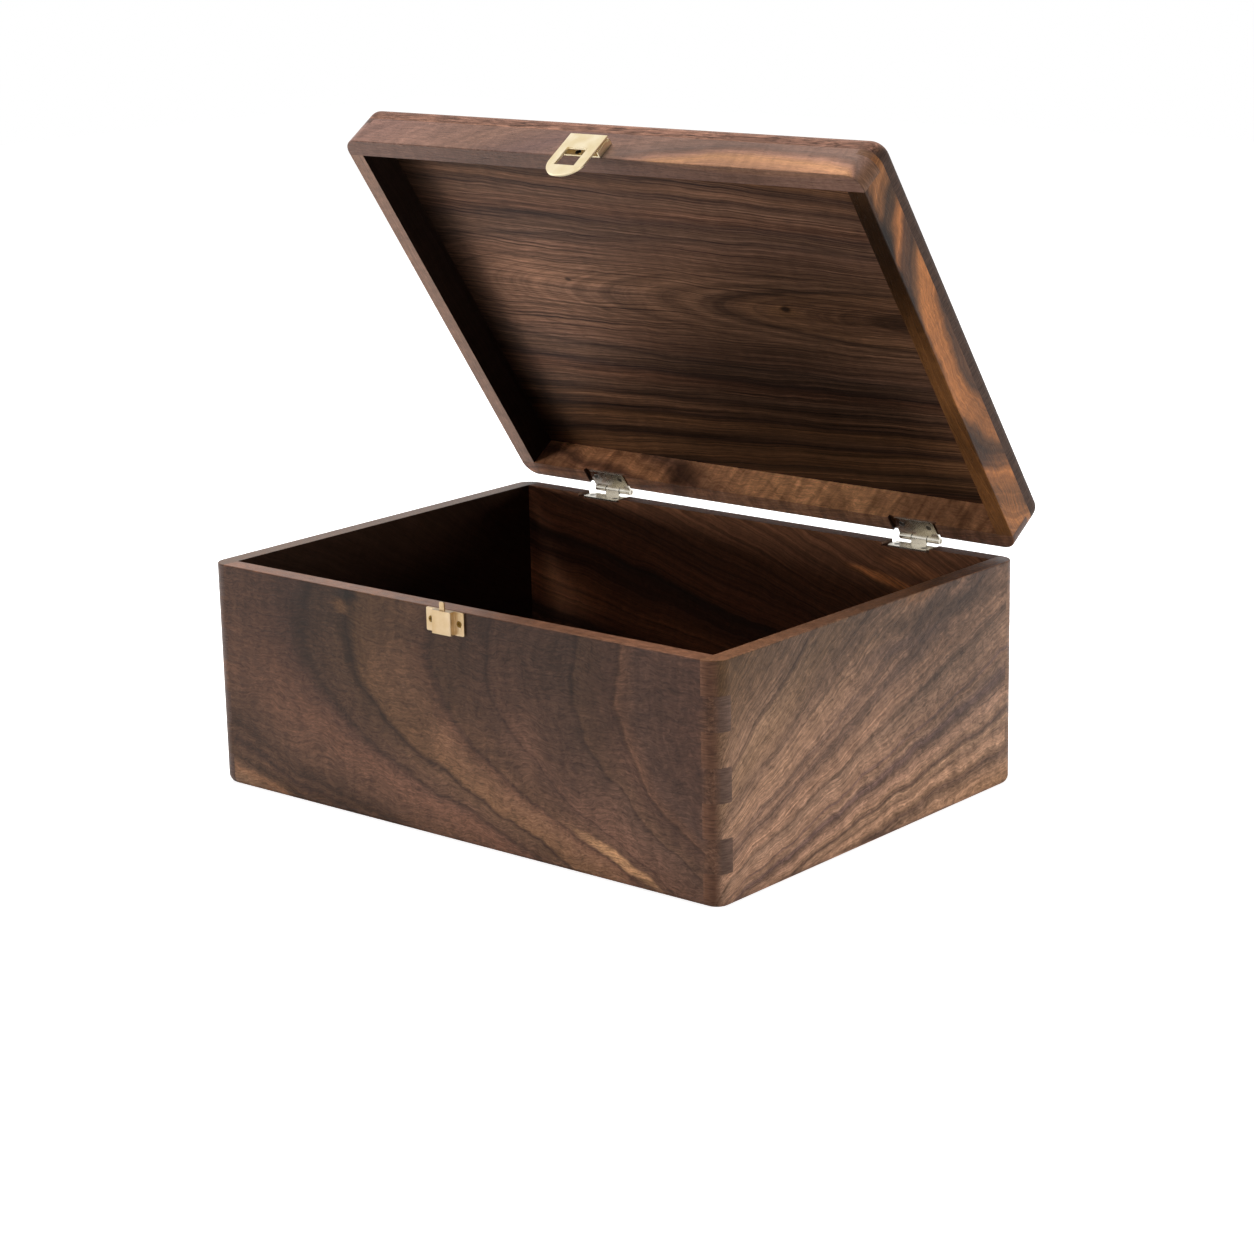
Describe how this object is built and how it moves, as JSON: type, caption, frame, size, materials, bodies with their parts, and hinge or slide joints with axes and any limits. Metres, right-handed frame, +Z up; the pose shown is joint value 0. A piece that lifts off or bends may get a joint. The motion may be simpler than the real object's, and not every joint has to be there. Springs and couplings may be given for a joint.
{
  "type": "wooden keepsake box",
  "caption": "Rectangular walnut box with finger-jointed corners, a lid on butt hinges and a brass hasp that drops over a keeper on the front.",
  "frame": {"origin": "middle of the base, on the surface that the box stands on", "axes": "+X to the right seen from the front, +Y from front to back, +Z up; the lid rests open at 55.7 degrees"},
  "size_m": [0.34, 0.2765, 0.3455],
  "materials": {
    "walnut": "satin oiled walnut",
    "nickel": "satin nickel plate",
    "brass": "pale satin brass",
    "dark_steel": "blackened steel"
  },
  "bodies": {
    "box": {"front_board": "walnut", "back_board": "walnut", "left_board": "walnut", "right_board": "walnut", "bottom_panel": "walnut", "left_hinge_body_leaf": "nickel", "right_hinge_body_leaf": "nickel", "hinge_body_screws": "nickel", "catch_keeper": "brass", "catch_tongue": "brass", "catch_screws": "brass"},
    "lid": {"lid_front_rail": "walnut", "lid_back_rail": "walnut", "lid_left_rail": "walnut", "lid_right_rail": "walnut", "lid_top_panel": "walnut", "left_hinge_lid_leaf": "nickel", "right_hinge_lid_leaf": "nickel", "left_hinge_pin": "nickel", "right_hinge_pin": "nickel", "hinge_lid_screws": "nickel", "hasp_base": "brass", "hasp_pin": "brass", "hasp_screws": "dark_steel"},
    "flap": {"hasp_flap": "brass"}
  },
  "joints": [
    {"name": "lid_hinge", "type": "hinge", "parent": "box", "child": "lid", "pos_m": [0, 0.1292, 0.1222], "axis": [-1, 0, 0], "range_deg": [-55.7, 44.3]},
    {"name": "hasp_pivot", "type": "hinge", "parent": "lid", "child": "flap", "pos_m": [0, -0.00808, 0.33941], "axis": [-1, 0, 0], "range_deg": [-4, 90]}
  ]
}
